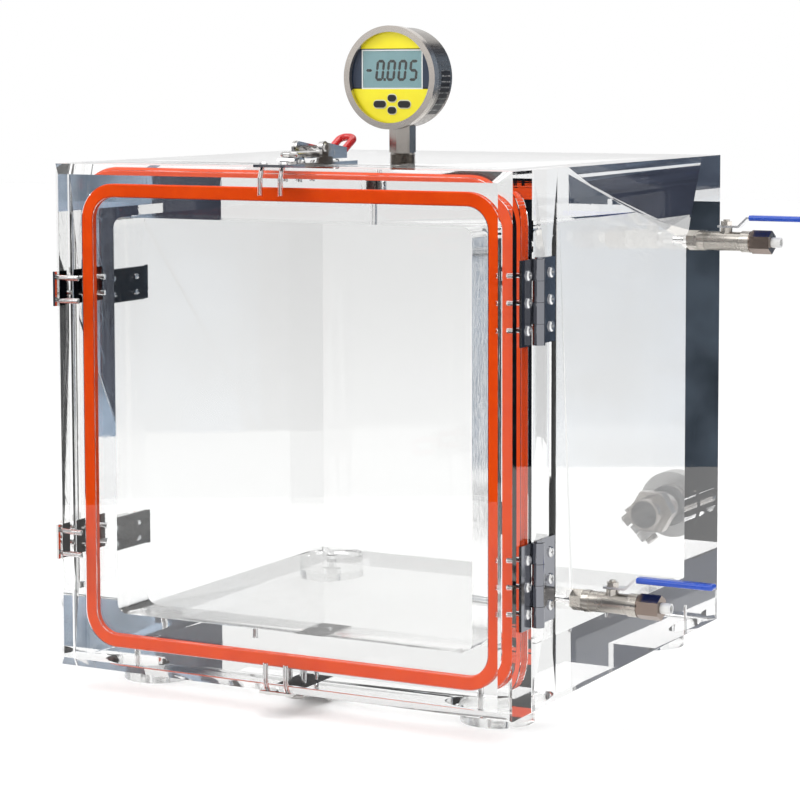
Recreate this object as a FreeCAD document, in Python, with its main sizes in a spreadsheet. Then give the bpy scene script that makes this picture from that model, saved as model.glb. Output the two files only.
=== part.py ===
"""Clear acrylic chamber box on four feet: a side-hinged door with a cord seal and four draw
latches, a digital gauge on the lid, two ball valves on the right wall and a clamped vacuum
port through the back. Millimetres, +X right, +Y back, +Z up, the door faces -Y, and the
origin is the middle of the box's footprint on the surface that it stands on."""
import FreeCAD
import Part
import Sketcher
import math
import os

V = FreeCAD.Vector
doc = FreeCAD.newDocument("ChamberBox")
sheet = doc.addObject("Spreadsheet::Sheet", "Dims")

DIMENSIONS = {
    # chamber
    "outer": 380, "box_depth": 350, "wall": 40, "feet_height": 18, "foot_radius": 27, "foot_inset": 44,
    "front_foot_inset": 34, "opening_corner": 8, "interface": -156, "half_gap": 1,
    # door and seal
    "door_thick": 38, "door_bevel": 7.5, "seal_inset": 20, "seal_width": 9.6,
    "seal_corner": 22, "groove_depth": 6, "seal_clear": 0.15, "seal_round": 3,
    # fasteners
    "drill_clear": 0.1, "screw_radius": 2, "head_radius": 3.4, "head_height": 1.7,
    "hinge_screw_depth": 18, "catch_screw_depth": 22, "base_screw_depth": 13,
    "foot_screw_radius": 2.5, "foot_head_radius": 4.8, "foot_screw_depth": 16,
    # hinges
    "hinge_height": 60, "hinge_spacing": 198, "pin_offset": 4.9, "pin_radius": 2,
    "knuckle_radius": 4.5, "leaf_thick": 2, "door_leaf": 21, "body_leaf": 33,
    "leaf_screw_pitch": 19, "door_screw_inset": 11, "body_screw_inset": 25.5,
    # draw latches, in each latch's own frame: x towards the rear, z out of the surface
    "latch_pitch": 192, "top_latch_x": -2, "base_start": 8, "base_length": 64, "base_width": 26,
    "sheet_thick": 2, "lever_pivot_x": 24, "lever_pivot_z": 13, "bar_pivot_x": 40,
    "bar_height": 8.3, "bar_front": 8, "bar_half_width": 5.5, "bar_radius": 2,
    "trunnion_radius": 3.2, "trunnion_half": 8.9, "rivet_radius": 2,
    "lever_inner": 9, "lever_thick": 1.8, "ear_inner": 11, "front_screw_x": 21,
    "rear_screw_x": 50, "base_screw_half": 6, "catch_screw_x": 28, "catch_screw_half": 8.5,
    "catch_start": 34, "catch_end": 5, "catch_nose": 5.6,
    "grip_start_x": 57, "grip_start_z": 5.8, "grip_length": 27, "grip_tilt": 29,
    "low_grip_tilt": 17, "grip_bare": 6, "lever_foot": 4.2, "web_start": 50, "grip_half": 6,
    "grip_radius": 2.8, "grip_rod": 1.5, "grip_bend": 5,
    # ball valves, in each valve's own frame: x out of the wall
    "valve_thread": 6, "valve_bore": 3.2, "valve_socket": 12, "wall_nut": 8.6,
    "valve_body": 43, "valve_radius": 7.5, "washer_thick": 1.2, "end_nut": 16,
    "end_nut_flats": 16, "wall_nut_flats": 13.6, "tube_out": 7.5, "tube_radius": 4, "tube_neck": 0.5,
    "stem_x": 31, "stem_radius": 2.4, "ball_radius": 5.2, "boss_top": 10.6,
    "strip_thick": 1.6, "strip_width": 8, "sleeve_height": 18.6, "sleeve_start": 20,
    "lever_reach": 78, "sleeve_thick": 4.3, "sleeve_width": 9.6,
    "upper_valve_y": 130, "upper_valve_z": 333, "lower_valve_y": -87, "lower_valve_z": 86,
    # vacuum port on the back panel
    "port_x": 125, "port_z": 111, "port_outer": 12.7, "port_inner": 11, "port_inside": 24,
    "port_nut_flats": 32, "port_nut_thick": 10, "flange_radius": 20, "flange_thick": 3,
    "port_face": 13, "ring_gap": 4, "ring_outer": 13, "recess_depth": 3.2,
    "clamp_radius": 27, "clamp_width": 16, "clamp_clear": 0.15, "clamp_angle": 222,
    "clamp_bolt_x": 36, "bolt_radius": 3, "ear_height": 8, "wing_reach": 10,
    "hose_length": 36, "hose_radius": 8,
    # gauge on the lid
    "gauge_x": 45.4, "gauge_y": -77, "gauge_height": 63.5, "gauge_front": 21,
    "gauge_radius": 38, "gauge_depth": 30, "bezel_width": 4.6, "bezel_depth": 7,
    "case_wall": 1.5, "stem_flats": 17, "stem_thread": 9.8, "stem_thread_top": 8,
    "stem_socket": 18, "thread_pitch": 1.5, "lcd_width": 49, "lcd_height": 27,
    "lcd_raise": 6, "face_recess": 5, "face_thick": 1.6, "lens_thick": 1,
    "lcd_thick": 2.5, "case_gap": 1.2, "case_start": 4, "button_pitch": 10.2,
    "button_drop": 19.6, "button_lift": 4.5, "button_wide": 9.8, "button_narrow": 6.6,
    "button_tall": 5, "button_proud": 1.1,
}


def fill_sheet():
    """Writes each driving dimension, with its alias, in the sheet."""
    for row, (alias, value) in enumerate(DIMENSIONS.items(), start=1):
        sheet.set("A%d" % row, alias)
        sheet.set("B%d" % row, str(value))
        sheet.setAlias("B%d" % row, alias)
    doc.recompute()


def expression(text):
    """The text with each alias pointed at the sheet, such as outer/2 to Dims.outer/2."""
    words = []
    word = ""
    for letter in text + " ":
        if letter.isalpha() or letter == "_":
            word += letter
            continue
        words.append("Dims." + word if word in DIMENSIONS else word)
        words.append(letter)
        word = ""
    return "".join(words).strip()


def size(alias):
    return float(sheet.get(alias))


def bind(item, **properties):
    for name, text in properties.items():
        item.setExpression(name.replace("__", "."), expression(text))


TO_X = FreeCAD.Rotation(V(0, 1, 0), 90)
TO_MINUS_X = FreeCAD.Rotation(V(0, 1, 0), -90)
TO_Y = FreeCAD.Rotation(V(1, 0, 0), -90)
TO_MINUS_Y = FreeCAD.Rotation(V(1, 0, 0), 90)
TO_MINUS_Z = FreeCAD.Rotation(V(1, 0, 0), 180)
UPRIGHT = FreeCAD.Rotation()


def place(item, x="0", y="0", z="0", turn=UPRIGHT):
    item.Placement = FreeCAD.Placement(V(0, 0, 0), turn)
    bind(item, Placement__Base__x=x, Placement__Base__y=y, Placement__Base__z=z)
    return item


def box(name, length, width, height, x="0", y="0", z="0", turn=UPRIGHT):
    item = doc.addObject("Part::Box", name)
    bind(item, Length=length, Width=width, Height=height)
    return place(item, x, y, z, turn)


def cylinder(name, radius, height, x="0", y="0", z="0", turn=UPRIGHT):
    item = doc.addObject("Part::Cylinder", name)
    bind(item, Radius=radius, Height=height)
    return place(item, x, y, z, turn)


def cone(name, start, end, height, x="0", y="0", z="0", turn=UPRIGHT):
    item = doc.addObject("Part::Cone", name)
    bind(item, Radius1=start, Radius2=end, Height=height)
    return place(item, x, y, z, turn)


def hexagon(name, flats, height, x="0", y="0", z="0", turn=UPRIGHT):
    item = doc.addObject("Part::Prism", name)
    item.Polygon = 6
    bind(item, Circumradius="(%s)/2/cos(30deg)" % flats, Height=height)
    return place(item, x, y, z, turn)


def fuse(name, *parts):
    item = doc.addObject("Part::MultiFuse", name)
    item.Shapes = list(parts)
    item.Refine = True
    return item


def cut(name, base, *tools):
    tool = tools[0] if len(tools) == 1 else fuse(name + "_tool", *tools)
    item = doc.addObject("Part::Cut", name)
    item.Base = base
    item.Tool = tool
    return item


def group(name, parts):
    item = doc.addObject("Part::Compound", name)
    item.Links = list(parts)
    return item


def copy_of(master, name, x="0", y="0", z="0", turn=UPRIGHT):
    """Another one of the master piece, at a placement of its own."""
    return place(group(name, [master]), x, y, z, turn)


def feature(name, shape, x="0", y="0", z="0", turn=UPRIGHT):
    item = doc.addObject("Part::Feature", name)
    item.Shape = shape
    return place(item, x, y, z, turn)


def plane_of(body, role):
    for item in body.Origin.OriginFeatures:
        if item.Role == role:
            return item
    raise ValueError(role)


def new_sketch(body, name, role="XZ_Plane"):
    sketch = body.newObject("Sketcher::SketchObject", name)
    sketch.AttachmentSupport = [(plane_of(body, role), "")]
    sketch.MapMode = "FlatFace"
    return sketch


def constrain(sketch, kind, *values):
    return sketch.addConstraint(Sketcher.Constraint(kind, *values))


def rounded_square(sketch, width, corner, half, radius):
    """A square with round corners about the sketch's origin, held by two dimensions. It is
    drawn at its half width and corner radius, and the width and corner rules then hold it."""
    first = sketch.GeometryCount
    for turn in range(4):
        spin = FreeCAD.Rotation(V(0, 0, 1), 90 * turn)
        start = spin.multVec(V(half, radius - half, 0))
        end = spin.multVec(V(half, half - radius, 0))
        sketch.addGeometry(Part.LineSegment(start, end), False)
        centre = spin.multVec(V(half - radius, half - radius, 0))
        circle = Part.Circle(centre, V(0, 0, 1), radius)
        turned = math.radians(90 * turn)
        arc = Part.ArcOfCircle(circle, turned, turned + math.pi / 2)
        sketch.addGeometry(arc, False)
    lines = [first, first + 2, first + 4, first + 6]
    arcs = [line + 1 for line in lines]
    for line, arc, after in zip(lines, arcs, lines[1:] + lines[:1]):
        constrain(sketch, "Tangent", line, 2, arc, 1)
        constrain(sketch, "Tangent", arc, 2, after, 1)
    constrain(sketch, "Vertical", lines[0])
    constrain(sketch, "Horizontal", lines[1])
    for arc in arcs[1:]:
        constrain(sketch, "Equal", arcs[0], arc)
    constrain(sketch, "Equal", lines[0], lines[1])
    constrain(sketch, "Symmetric", arcs[0], 3, arcs[2], 3, -1, 1)
    round_rule = constrain(sketch, "Radius", arcs[0], radius)
    side_rule = constrain(sketch, "DistanceX", lines[2], 1, lines[0], 1, 2 * half)
    sketch.setExpression("Constraints[%d]" % round_rule, expression(corner))
    sketch.setExpression("Constraints[%d]" % side_rule, expression(width))


def plain_square(sketch, width):
    half = size("outer") / 2
    corners = [V(-half, -half, 0), V(half, -half, 0), V(half, half, 0), V(-half, half, 0)]
    first = sketch.GeometryCount
    for start, end in zip(corners, corners[1:] + corners[:1]):
        sketch.addGeometry(Part.LineSegment(start, end), False)
    for step in range(4):
        constrain(sketch, "Coincident", first + step, 2, first + (step + 1) % 4, 1)
    constrain(sketch, "Horizontal", first)
    constrain(sketch, "Vertical", first + 1)
    constrain(sketch, "Horizontal", first + 2)
    constrain(sketch, "Vertical", first + 3)
    constrain(sketch, "Symmetric", first, 1, first + 1, 2, -1, 1)
    constrain(sketch, "Equal", first, first + 1)
    rule = constrain(sketch, "DistanceX", first, 1, first, 2, 2 * half)
    sketch.setExpression("Constraints[%d]" % rule, expression(width))


def padded_body(name, sketch_parts, length):
    """A body of one pad along -Y, whose sketch is drawn by the given functions."""
    body = doc.addObject("PartDesign::Body", name)
    sketch = new_sketch(body, name + "_outline")
    for draw, values in sketch_parts:
        draw(sketch, *values)
    pad = body.newObject("PartDesign::Pad", name + "_pad")
    pad.Profile = sketch
    bind(pad, Length=length)
    doc.recompute()
    return body, pad


BOX_TOP = "feet_height + outer"
BOX_MIDDLE = "feet_height + outer/2"
FRONT_Y = "interface + half_gap"
BACK_Y = "interface + half_gap + box_depth"


def seal_edge(reach, sign):
    """The rounded square that runs round the seal, the reach outside or inside its middle."""
    clear = size("seal_clear") if "seal_clear" in reach else 0
    step = sign * (size("seal_width") / 2 + clear)
    word = "+" if sign > 0 else "-"
    width = "outer - 2*seal_inset %s 2*(%s)" % (word, reach)
    corner = "seal_corner %s (%s)" % (word, reach)
    half = size("outer") / 2 - size("seal_inset") + step
    return [width, corner, half, size("seal_corner") + step]


def front_flange_blank():
    outline = (plain_square, ["outer"])
    opening = (rounded_square, ["outer - 2*wall", "opening_corner",
                                size("outer") / 2 - size("wall"), size("opening_corner")])
    body = padded_body("flange_blank", [outline, opening], "wall")[0]
    return place(body, "0", FRONT_Y + " + wall", BOX_MIDDLE)


def door_blank():
    """The door: a plate with its front edges bevelled and a seal groove in its back."""
    body, pad = padded_body("door_blank", [(plain_square, ["outer"])], "door_thick")
    front = -size("door_thick")
    edges = []
    for number, edge in enumerate(pad.Shape.Edges, start=1):
        if all(abs(vertex.Y - front) < 0.01 for vertex in edge.Vertexes):
            edges.append("Edge%d" % number)
    bevel = body.newObject("PartDesign::Chamfer", "door_bevel_edges")
    bevel.Base = (pad, edges)
    bind(bevel, Size="door_bevel")
    doc.recompute()
    before = bevel.Shape.Volume
    groove_sketch = new_sketch(body, "groove_outline")
    for sign in (1, -1):
        rounded_square(groove_sketch, *seal_edge("seal_width/2 + seal_clear", sign))
    groove = body.newObject("PartDesign::Pocket", "seal_groove")
    groove.Profile = groove_sketch
    groove.Reversed = True
    bind(groove, Length="groove_depth")
    doc.recompute()
    assert groove.Shape.Volume < before - 1000, "the seal groove cuts nothing"
    return place(body, "0", "interface - half_gap", BOX_MIDDLE)


def door_seal():
    """The seal: a square ring of nearly round section that fills the groove and the gap."""
    edges = [(rounded_square, seal_edge("seal_width/2", sign)) for sign in (1, -1)]
    body, pad = padded_body("door_gasket", edges, "groove_depth + 2*half_gap - 2*seal_clear")
    rims = []
    for number, edge in enumerate(pad.Shape.Edges, start=1):
        if abs(edge.Vertexes[0].Y - edge.Vertexes[-1].Y) < 0.01:
            rims.append("Edge%d" % number)
    rounding = body.newObject("PartDesign::Fillet", "seal_rounding")
    rounding.Base = (pad, rims)
    bind(rounding, Radius="seal_round")
    doc.recompute()
    return place(body, "0", FRONT_Y + " - seal_clear", BOX_MIDDLE)


def screw(name, radius, depth, head_radius, head_height):
    """A pan-head screw with a cross recess: its head sits on z = 0 and its shank goes down."""
    shank = cylinder(name + "_shank", radius, depth, z="-(%s)" % depth)
    rim = cylinder(name + "_rim", head_radius, "(%s)/2" % head_height)
    crown = cone(name + "_crown", head_radius, "0.7*(%s)" % head_radius, "(%s)/2" % head_height,
                 z="(%s)/2" % head_height)
    slots = []
    for turn in (0, 90):
        length = "1.1*(%s)" % head_radius
        slot = box("%s_slot_%d" % (name, turn), length, "0.26*(%s)" % head_radius, head_height)
        wide = "-0.55*(%s)" % head_radius
        thin = "0.13*(%s)" % head_radius
        rise = "0.45*(%s)" % head_height
        spin = FreeCAD.Rotation(V(0, 0, 1), turn)
        corner = (wide, "-" + thin, rise) if turn == 0 else (thin, wide, rise)
        place(slot, *corner, spin)
        slots.append(slot)
    return cut(name, fuse(name + "_solid", shank, rim, crown), *slots)


# ---- the places of the repeated sets -------------------------------------------------------

SPIN_LATCH = FreeCAD.Rotation(V(0, 0, 1), 90)
LATCHES = {
    "top": ("top_latch_x", "interface", BOX_TOP, FreeCAD.Rotation(V(0, 1, 0), 0) * SPIN_LATCH),
    "bottom": ("0", "interface", "feet_height", FreeCAD.Rotation(V(0, 1, 0), 180) * SPIN_LATCH),
    "left_upper": ("-outer/2", "interface", BOX_MIDDLE + " + latch_pitch/2",
                   FreeCAD.Rotation(V(0, 1, 0), -90) * SPIN_LATCH),
    "left_lower": ("-outer/2", "interface", BOX_MIDDLE + " - latch_pitch/2",
                   FreeCAD.Rotation(V(0, 1, 0), -90) * SPIN_LATCH),
}
VALVES = {
    "upper": ("outer/2", "upper_valve_y", "upper_valve_z"),
    "lower": ("outer/2", "lower_valve_y", "lower_valve_z"),
}
HINGES = {"upper": "+ hinge_spacing/2", "lower": "- hinge_spacing/2"}
FEET = [(side, foot_y) for side in ("-", "")
        for foot_y in (FRONT_Y + " + front_foot_inset", BACK_Y + " - front_foot_inset")]


def at_latches(master, name):
    return [copy_of(master, "%s_%s" % (name, key), *spot) for key, spot in LATCHES.items()]


def at_valves(master, name):
    return [copy_of(master, "%s_%s" % (name, key), *spot) for key, spot in VALVES.items()]


def hinge_screw_places():
    """Centre of each hinge screw on the right side face: door leaf ones, then body leaf ones."""
    places = {"door": [], "body": []}
    insets = {"door": "interface - door_screw_inset", "body": "interface + body_screw_inset"}
    for leaf, leaf_y in insets.items():
        for hinge in HINGES.values():
            for step in ("- leaf_screw_pitch", "", "+ leaf_screw_pitch"):
                places[leaf].append((leaf_y, BOX_MIDDLE + hinge + step))
    return places


def screws_on_hinges(leaf):
    master = screw("hinge_screw_" + leaf, "screw_radius", "hinge_screw_depth",
                   "head_radius + 0.4", "head_height")
    spots = hinge_screw_places()[leaf]
    return [copy_of(master, "hinge_screw_%s_%d" % (leaf, count), "outer/2 + leaf_thick", y, z, TO_X)
            for count, (y, z) in enumerate(spots)]


def drills():
    """Every blind screw hole in the clear plates, as one compound of cylinders."""
    holes = []
    for leaf, spots in hinge_screw_places().items():
        for count, (y, z) in enumerate(spots):
            name = "hinge_drill_%s_%d" % (leaf, count)
            holes.append(cylinder(name, "screw_radius + drill_clear", "hinge_screw_depth",
                                  "outer/2 + 1", y, z, TO_MINUS_X))
    latch_holes = []
    for kind, spots in (("base", base_screw_spots()), ("catch", catch_screw_spots())):
        depth = kind + "_screw_depth"
        for count, (x, y) in enumerate(spots):
            latch_holes.append(cylinder("%s_drill_%d" % (kind, count), "screw_radius + drill_clear",
                                        depth + " + 0.5", x, y, "sheet_thick - 0.5 - " + depth))
    holes += at_latches(group("latch_drill_set", latch_holes), "latch_drills")
    for count, (side, foot_y) in enumerate(FEET):
        holes.append(cylinder("foot_drill_%d" % count, "foot_screw_radius + drill_clear",
                              "foot_screw_depth + 1", side + "(outer/2 - foot_inset)", foot_y,
                              "feet_height - 1"))
    return group("screw_drills", holes)


def base_screw_spots():
    return [(x, side + "base_screw_half") for x in ("front_screw_x", "rear_screw_x")
            for side in ("-", "")]


def catch_screw_spots():
    return [("-catch_screw_x", side + "catch_screw_half") for side in ("-", "")]


# ---- chamber -------------------------------------------------------------------------------

def chamber(holes):
    """Six clear plates: the front flange, four walls between, and the back panel."""
    deep = "box_depth - 2*wall"
    start = FRONT_Y + " + wall"
    inner = "outer - 2*wall"
    left = box("left_blank", "wall", deep, "outer", "-outer/2", start, "feet_height")
    right = box("right_blank", "wall", deep, "outer", "outer/2 - wall", start, "feet_height")
    lid = box("top_blank", inner, deep, "wall", "wall - outer/2", start, "feet_height + outer - wall")
    floor = box("bottom_blank", inner, deep, "wall", "wall - outer/2", start, "feet_height")
    back = box("back_blank", "outer", "wall", "outer", "-outer/2", start + " + " + deep, "feet_height")
    valve_holes = []
    for key, (x, y, z) in VALVES.items():
        valve_holes.append(cylinder("valve_socket_" + key, "valve_thread + 0.05",
                                    "valve_socket + 1", "outer/2 - valve_socket - 0.5", y, z, TO_X))
        valve_holes.append(cylinder("valve_way_" + key, "valve_bore", "wall + 2",
                                    "outer/2 - wall - 1", y, z, TO_X))
    port_hole = cylinder("port_way", "port_outer + 0.1", "wall + 2", "port_x", BACK_Y + " - wall - 1",
                         "port_z", TO_Y)
    stem_hole = cylinder("stem_way", "stem_thread + 0.1", "stem_socket + 1", "gauge_x", "gauge_y",
                         BOX_TOP + " - stem_socket - 0.5")
    pressure_hole = cylinder("pressure_way", "2.5", "wall + 2", "gauge_x", "gauge_y",
                             BOX_TOP + " - wall - 1")
    return {
        "front_flange": cut("front_flange", front_flange_blank(), holes),
        "left_wall": cut("left_wall", left, holes),
        "right_wall": cut("right_wall", cut("right_drilled", right, holes),
                          fuse("valve_holes", *valve_holes)),
        "top_panel": cut("top_panel", cut("top_drilled", lid, holes),
                         fuse("stem_holes", stem_hole, pressure_hole)),
        "bottom_panel": cut("bottom_panel", floor, holes),
        "back_panel": cut("back_panel", cut("back_drilled", back, holes), port_hole),
    }


def feet():
    """Clear discs with a counterbore from below, and the screw that holds each one."""
    disc = cylinder("foot_disc", "foot_radius", "feet_height")
    bore = cylinder("foot_bore", "foot_screw_radius + 0.2", "feet_height + 2", z="-1")
    seat = cylinder("foot_seat", "foot_head_radius + 0.4", "8", z="-1")
    foot = cut("foot", disc, bore, seat)
    foot_screw = screw("foot_screw", "foot_screw_radius", "feet_height - 7 + foot_screw_depth - 1",
                       "foot_head_radius", "2*head_height")
    discs = []
    screws = []
    for count, (side, foot_y) in enumerate(FEET):
        foot_x = side + "(outer/2 - foot_inset)"
        discs.append(copy_of(foot, "foot_%d" % count, foot_x, foot_y))
        screws.append(copy_of(foot_screw, "foot_screw_%d" % count, foot_x, foot_y, "7", TO_MINUS_Z))
    return {"feet": group("feet", discs), "foot_screws": group("foot_screws", screws)}


# ---- hinges --------------------------------------------------------------------------------

def hinge_leaf(name, length, side, segments):
    """One leaf with its knuckles. Its own frame: the pin runs along z at the origin, the plate
    lies on x = -pin_offset, and the leaf reaches towards side * Y."""
    count = 4
    plate_y = "0" if side > 0 else "-(%s)" % length
    plate = box(name + "_plate", "leaf_thick", length, "hinge_height", "-pin_offset", plate_y,
                "-hinge_height/2")
    rings = []
    slots = []
    for segment in range(count):
        low = "-hinge_height/2 + %g*hinge_height/4" % segment
        if segment in segments:
            rings.append(cylinder("%s_ring_%d" % (name, segment), "knuckle_radius",
                                  "hinge_height/4 - 0.3", z=low + " + 0.15"))
        else:
            slots.append(box("%s_slot_%d" % (name, segment), "2*leaf_thick", "2*pin_offset + 0.6",
                             "hinge_height/4", "-pin_offset - 1", "-pin_offset - 0.3", low))
    solid = fuse(name + "_solid", plate, *rings)
    slotted = cut(name + "_slotted", solid, *slots)
    bores = [cylinder(name + "_bore", "pin_radius + 0.05", "hinge_height + 2",
                      z="-hinge_height/2 - 1")]
    inset = "body_screw_inset" if side > 0 else "-door_screw_inset"
    for step, offset in enumerate(("-leaf_screw_pitch", "0", "leaf_screw_pitch")):
        bores.append(cylinder("%s_hole_%d" % (name, step), "screw_radius + drill_clear",
                              "leaf_thick + 2", "-pin_offset - 1", inset, offset, TO_X))
    return cut(name, slotted, *bores)


def hinges():
    body_leaf = hinge_leaf("body_leaf_blank", "body_leaf", 1, (0, 2))
    door_leaf = hinge_leaf("door_leaf_blank", "door_leaf", -1, (1, 3))
    shaft = cylinder("hinge_shaft", "pin_radius", "hinge_height", z="-hinge_height/2")
    cap = cylinder("hinge_cap", "pin_radius + 1", "1.2", z="hinge_height/2")
    pin = fuse("hinge_pin", shaft, cap)
    nodes = {}
    masters = {"hinge_leaves_body": body_leaf, "hinge_leaves_door": door_leaf, "hinge_pins": pin}
    for node, master in masters.items():
        copies = [copy_of(master, "%s_%s" % (node, key), "outer/2 + pin_offset", "interface",
                          BOX_MIDDLE + offset) for key, offset in HINGES.items()]
        nodes[node] = group(node, copies)
    for leaf in ("door", "body"):
        nodes["hinge_screws_" + leaf] = group("hinge_screws_" + leaf, screws_on_hinges(leaf))
    return nodes


# ---- draw latches --------------------------------------------------------------------------

def bent_rod(straight, half_width, bend, radius):
    """A round rod bent to a U in the x-y plane: its two arms run from x = 0 to its cross bar,
    whose centreline is at x = straight."""
    corner = math.sqrt(0.5)
    run = straight - bend
    flat = half_width - bend
    near = V(0, -half_width, 0)
    edges = [
        Part.LineSegment(near, V(run, -half_width, 0)),
        Part.Arc(V(run, -half_width, 0), V(run + bend * corner, -flat - bend * corner, 0),
                 V(straight, -flat, 0)),
        Part.LineSegment(V(straight, -flat, 0), V(straight, flat, 0)),
        Part.Arc(V(straight, flat, 0), V(run + bend * corner, flat + bend * corner, 0),
                 V(run, half_width, 0)),
        Part.LineSegment(V(run, half_width, 0), V(0, half_width, 0)),
    ]
    path = Part.Wire([edge.toShape() for edge in edges])
    section = Part.Wire([Part.Circle(near, V(1, 0, 0), radius).toShape()])
    return path.makePipeShell([section], True, False)


def latch_base():
    """A plate with two upright ears for the lever's rivets."""
    plate = box("base_plate", "base_length", "base_width", "sheet_thick", "base_start",
                "-base_width/2")
    parts = [plate]
    for side in (-1, 1):
        ear_y = "ear_inner" if side > 0 else "-ear_inner - sheet_thick"
        parts.append(box("ear_foot_%d" % (side + 1), "20", "sheet_thick", "6",
                         "lever_pivot_x - 9", ear_y))
        parts.append(box("ear_post_%d" % (side + 1), "9", "sheet_thick", "lever_pivot_z",
                         "lever_pivot_x - 4.5", ear_y))
        parts.append(cylinder("ear_top_%d" % (side + 1), "4.5", "sheet_thick", "lever_pivot_x",
                              ear_y, "lever_pivot_z", TO_Y))
    solid = fuse("base_solid", *parts)
    holes = [cylinder("ear_bore", "rivet_radius", "base_width + 4", "lever_pivot_x",
                      "-base_width/2 - 2", "lever_pivot_z", TO_Y)]
    for count, (x, y) in enumerate(base_screw_spots()):
        holes.append(cylinder("base_hole_%d" % count, "screw_radius + drill_clear", "6", x, y, "-2"))
    return cut("latch_base", solid, *holes)


def latch_rivets():
    """Two stub rivets, one in each ear, that the lever turns on."""
    rivets = []
    for side in (-1, 1):
        turn = TO_Y if side > 0 else TO_MINUS_Y
        sign = "" if side > 0 else "-"
        shank = cylinder("rivet_shank_%d" % (side + 1), "rivet_radius", "4.2", "lever_pivot_x",
                         sign + "(lever_inner - 0.1)", "lever_pivot_z", turn)
        head = cone("rivet_head_%d" % (side + 1), "3.2", "2.2", "1", "lever_pivot_x",
                    sign + "(ear_inner + sheet_thick)", "lever_pivot_z", turn)
        rivets.append(fuse("rivet_%d" % (side + 1), shank, head))
    return group("latch_rivet_pair", rivets)


def lever_outline():
    """Side view of the lever, from the rounded end at its rivet to its square rear end."""
    pivot = V(size("lever_pivot_x"), 0, size("lever_pivot_z"))
    nose = 4.2
    top = pivot + V(0, 0, nose)
    front = pivot + V(-nose, 0, 0)
    between = pivot + V(-nose * math.sqrt(0.5), 0, nose * math.sqrt(0.5))
    foot = size("lever_foot")
    points = [top, V(46, 0, 14), V(60, 0, 12), V(60, 0, foot), V(36, 0, foot), front]
    edges = [Part.LineSegment(a, b).toShape() for a, b in zip(points, points[1:])]
    edges.append(Part.Arc(front, between, top).toShape())
    return Part.Face(Part.Wire(edges))


def grip_turn(tilt):
    return FreeCAD.Rotation(V(0, 1, 0), -size(tilt))


def latch_lever(name, tilt):
    """Two side plates joined by a web behind the drawbar, with the rod that carries the grip."""
    half = size("lever_inner") + size("lever_thick")
    side_view = lever_outline()
    side_view.translate(V(0, -half, 0))
    blank = feature(name + "_blank", side_view.extrude(V(0, 2 * half, 0)))
    front_slot = box(name + "_front_slot", "web_start - 2", "2*lever_inner", "30", "2", "-lever_inner")
    under_slot = box(name + "_under_slot", "20", "2*lever_inner", "9.4", "web_start - 2",
                     "-lever_inner")
    plates = cut(name + "_plates", blank, front_slot, under_slot)
    rod_shape = bent_rod(size("grip_length"), size("grip_half"), size("grip_bend"), size("grip_rod"))
    rod = feature(name + "_rod", rod_shape, "grip_start_x", "0", "grip_start_z", grip_turn(tilt))
    lug = box(name + "_lug", "5", "2*lever_inner + 1", "7.6", "grip_start_x - 2.1",
              "-lever_inner - 0.5", "lever_foot")
    solid = fuse(name + "_solid", plates, lug, rod)
    rivet_bore = cylinder(name + "_rivet_bore", "rivet_radius + 0.05", "4*lever_inner",
                          "lever_pivot_x", "-2*lever_inner", "lever_pivot_z", TO_Y)
    bar_bore = cylinder(name + "_bar_bore", "rivet_radius + 0.05", "4*lever_inner",
                        "bar_pivot_x", "-2*lever_inner", "bar_height", TO_Y)
    return cut(name, solid, rivet_bore, bar_bore)


def latch_grip(name, tilt):
    """The moulded sleeve on the lever's loop, bored to the rod's own size."""
    length = size("grip_length") - size("grip_bare")
    sleeve = bent_rod(length, size("grip_half"), size("grip_bend"), size("grip_radius"))
    core = bent_rod(length, size("grip_half"), size("grip_bend"), size("grip_rod"))
    rise = "grip_bare*sin(%s*1deg)" % tilt
    run = "grip_bare*cos(%s*1deg)" % tilt
    return feature(name, sleeve.cut(core), "grip_start_x + " + run, "0", "grip_start_z + " + rise,
                   grip_turn(tilt))


def latch_drawbar():
    """The U-shaped rod, its trunnion in the lever and the four nuts that set its length."""
    tail = 6.8
    straight = size("bar_front") + size("bar_pivot_x") + tail
    half = size("bar_half_width")
    loop = bent_rod(straight, half, 4, size("bar_radius"))
    turned = FreeCAD.Rotation(V(0, 0, 1), 180)
    rod = feature("bar_rod", loop, "bar_pivot_x + %g" % tail, "0", "bar_height", turned)
    drum = cylinder("trunnion_drum", "trunnion_radius", "2*trunnion_half", "bar_pivot_x",
                    "-trunnion_half", "bar_height", TO_Y)
    spigot = cylinder("trunnion_spigot", "rivet_radius", "2*trunnion_half + 3.4", "bar_pivot_x",
                      "-trunnion_half - 1.7", "bar_height", TO_Y)
    arm_bores = [cylinder("arm_bore_%d" % count, "bar_radius", "20", "bar_pivot_x - 10",
                          side + "bar_half_width", "bar_height", TO_X)
                 for count, side in enumerate(("-", ""))]
    trunnion = cut("trunnion", fuse("trunnion_solid", drum, spigot), *arm_bores)
    nuts = []
    for place_x in ("bar_pivot_x - trunnion_radius - 2.6", "bar_pivot_x + trunnion_radius"):
        for side in ("-", ""):
            name = "bar_nut_%d" % len(nuts)
            blank = hexagon(name + "_blank", "6.8", "2.6", place_x, side + "bar_half_width",
                            "bar_height", TO_X * FreeCAD.Rotation(V(0, 0, 1), 0))
            bore = cylinder(name + "_bore", "bar_radius", "6", place_x + " - 1",
                            side + "bar_half_width", "bar_height", TO_X)
            nuts.append(cut(name, blank, bore))
    return group("latch_drawbar", [rod, trunnion] + nuts)


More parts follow.
